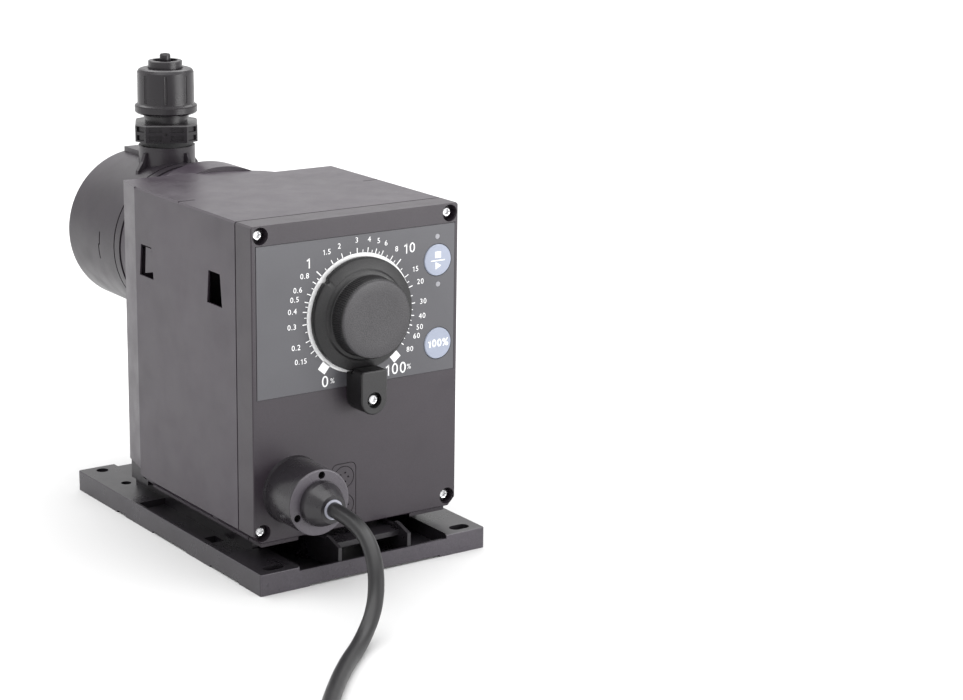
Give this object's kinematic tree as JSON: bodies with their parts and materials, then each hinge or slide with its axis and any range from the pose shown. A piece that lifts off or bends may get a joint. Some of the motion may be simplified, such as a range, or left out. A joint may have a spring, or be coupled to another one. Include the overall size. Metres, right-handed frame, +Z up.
{
  "type": "dosing pump",
  "caption": "Diaphragm dosing pump with a logarithmic dial knob and two membrane keys on its front, valves above and below the head, a clip-fit mounting plate and a mains lead.",
  "frame": {"origin": "centre of the mounting plate's underside", "axes": "+Z up, -Y towards the dial on the front, +Y towards the dosing head, +X to the right seen from the front"},
  "size_m": [0.213, 0.5505, 0.2122],
  "materials": {
    "housing_plastic": "fine-grained matte moulding",
    "cover_plastic": "fine-grained matte moulding",
    "plate_plastic": "satin moulding",
    "head_plastic": "satin glass-filled moulding",
    "black_plastic": "satin grained moulding",
    "gland_plastic": "satin nylon moulding",
    "knob_plastic": "coarse-grained matte moulding",
    "foil_grey": "printed membrane foil",
    "key_lavender": "domed membrane key",
    "led_lens": "clear moulded lens",
    "screw_steel": "bright plated steel",
    "shaft_steel": "ground steel",
    "bracket_steel": "zinc plated sheet",
    "motor_black": "black enamel",
    "gear_nylon": "natural moulded nylon",
    "bush_bronze": "sintered bronze",
    "seal_rubber": "black elastomer",
    "seal_lavender": "pale elastomer",
    "white_plastic": "white plastic and printing ink",
    "ceramic": "polished ceramic",
    "circuit_green": "solder resist",
    "module_grey": "potted module",
    "cable_jacket": "matte cable jacket",
    "plug_plastic": "satin moulded plug",
    "pin_nickel": "nickel plated pins"
  },
  "bodies": {
    "pump_body": {"mounting_plate": "plate_plastic", "front_cover": "cover_plastic", "cover_gasket": "seal_rubber", "control_case": "housing_plastic", "cover_screws": "screw_steel", "keypad_foil": "foil_grey", "status_leds": "led_lens", "socket_panel": "cover_plastic", "socket_caps": "cover_plastic", "dial_sensor": "module_grey", "knob_tab": "knob_plastic", "tab_screw": "screw_steel", "gland_body": "gland_plastic", "gland_nut": "gland_plastic", "gland_seal": "seal_lavender", "gland_screws": "motor_black", "control_board": "circuit_green", "power_unit": "module_grey", "drive_frame": "bracket_steel", "stepper_motor": "motor_black", "motor_screws": "screw_steel", "shaft_bushes": "bush_bronze", "rod_bush": "bush_bronze", "drive_housing": "housing_plastic", "rear_foot": "plate_plastic", "diaphragm_ring": "head_plastic", "diaphragm": "seal_rubber", "dosing_head": "head_plastic", "head_cover": "head_plastic", "head_screws": "screw_steel", "vent_nozzle": "black_plastic", "discharge_valve_body": "black_plastic", "suction_valve_body": "black_plastic", "valve_seats": "white_plastic", "valve_seals": "seal_rubber", "hose_clamps": "black_plastic", "hose_nipples": "black_plastic", "mains_lead": "cable_jacket", "mains_coil": "cable_jacket", "coil_tie": "seal_rubber", "mains_tail": "cable_jacket", "mains_plug": "plug_plastic", "plug_pins": "pin_nickel"},
    "dial": {"adjustment_knob": "knob_plastic", "dial_shaft": "shaft_steel"},
    "start_stop_button": {"start_stop_key": "key_lavender"},
    "full_flow_button": {"full_flow_key": "key_lavender"},
    "eccentric": {"eccentric_shaft": "shaft_steel", "eccentric_disc": "shaft_steel", "drive_gear": "gear_nylon"},
    "pinion": {"motor_shaft": "shaft_steel", "motor_pinion": "bush_bronze"},
    "plunger": {"push_rod": "shaft_steel", "diaphragm_core": "white_plastic"},
    "discharge_ball": {"discharge_valve_ball": "ceramic"},
    "suction_ball": {"suction_valve_ball": "ceramic"},
    "discharge_nut": {"discharge_union_nut": "black_plastic"},
    "suction_nut": {"suction_union_nut": "black_plastic"},
    "vent": {"vent_knob": "black_plastic"}
  },
  "joints": [
    {"name": "dial_turn", "type": "hinge", "parent": "pump_body", "child": "dial", "pos_m": [0.0012, -0.074, 0.117], "axis": [0, 1, 0], "range_deg": [-99, 189]},
    {"name": "start_stop_press", "type": "slide", "parent": "pump_body", "child": "start_stop_button", "axis": [0, 1, 0], "range_m": [0, 0.0005], "stiffness_N_per_m": 900, "springref_m": -0.0004},
    {"name": "full_flow_press", "type": "slide", "parent": "pump_body", "child": "full_flow_button", "axis": [0, 1, 0], "range_m": [0, 0.0005], "stiffness_N_per_m": 900, "springref_m": -0.0004},
    {"name": "eccentric_turn", "type": "hinge", "parent": "pump_body", "child": "eccentric", "pos_m": [0.011, -0.002, 0.121], "axis": [1, 0, 0], "range_deg": [0, 180]},
    {"name": "pinion_turn", "type": "hinge", "parent": "pump_body", "child": "pinion", "pos_m": [0.011, -0.002, 0.085], "axis": [1, 0, 0], "range_deg": [-541, 1]},
    {"name": "plunger_stroke", "type": "slide", "parent": "pump_body", "child": "plunger", "axis": [0, 1, 0], "range_m": [0, 0.00301]},
    {"name": "discharge_ball_lift", "type": "slide", "parent": "pump_body", "child": "discharge_ball", "axis": [0, 0, 1], "range_m": [0, 0.0015]},
    {"name": "suction_ball_lift", "type": "slide", "parent": "pump_body", "child": "suction_ball", "axis": [0, 0, 1], "range_m": [0, 0.0015]},
    {"name": "discharge_nut_spin", "type": "hinge", "parent": "pump_body", "child": "discharge_nut", "pos_m": [0, 0.1037, 0.19], "axis": [0, 0, 1], "continuous": true},
    {"name": "suction_nut_spin", "type": "hinge", "parent": "pump_body", "child": "suction_nut", "pos_m": [0, 0.1037, 0.052], "axis": [0, 0, 1], "continuous": true},
    {"name": "vent_turn", "type": "hinge", "parent": "pump_body", "child": "vent", "pos_m": [0, 0.14, 0.121], "axis": [0, 1, 0], "range_deg": [0, 90]}
  ],
  "couplings": [
    {"joint": "pinion_turn", "follows": "eccentric_turn", "ratio": -3},
    {"joint": "plunger_stroke", "follows": "eccentric_turn", "m_per_rad": 0.00095493}
  ]
}
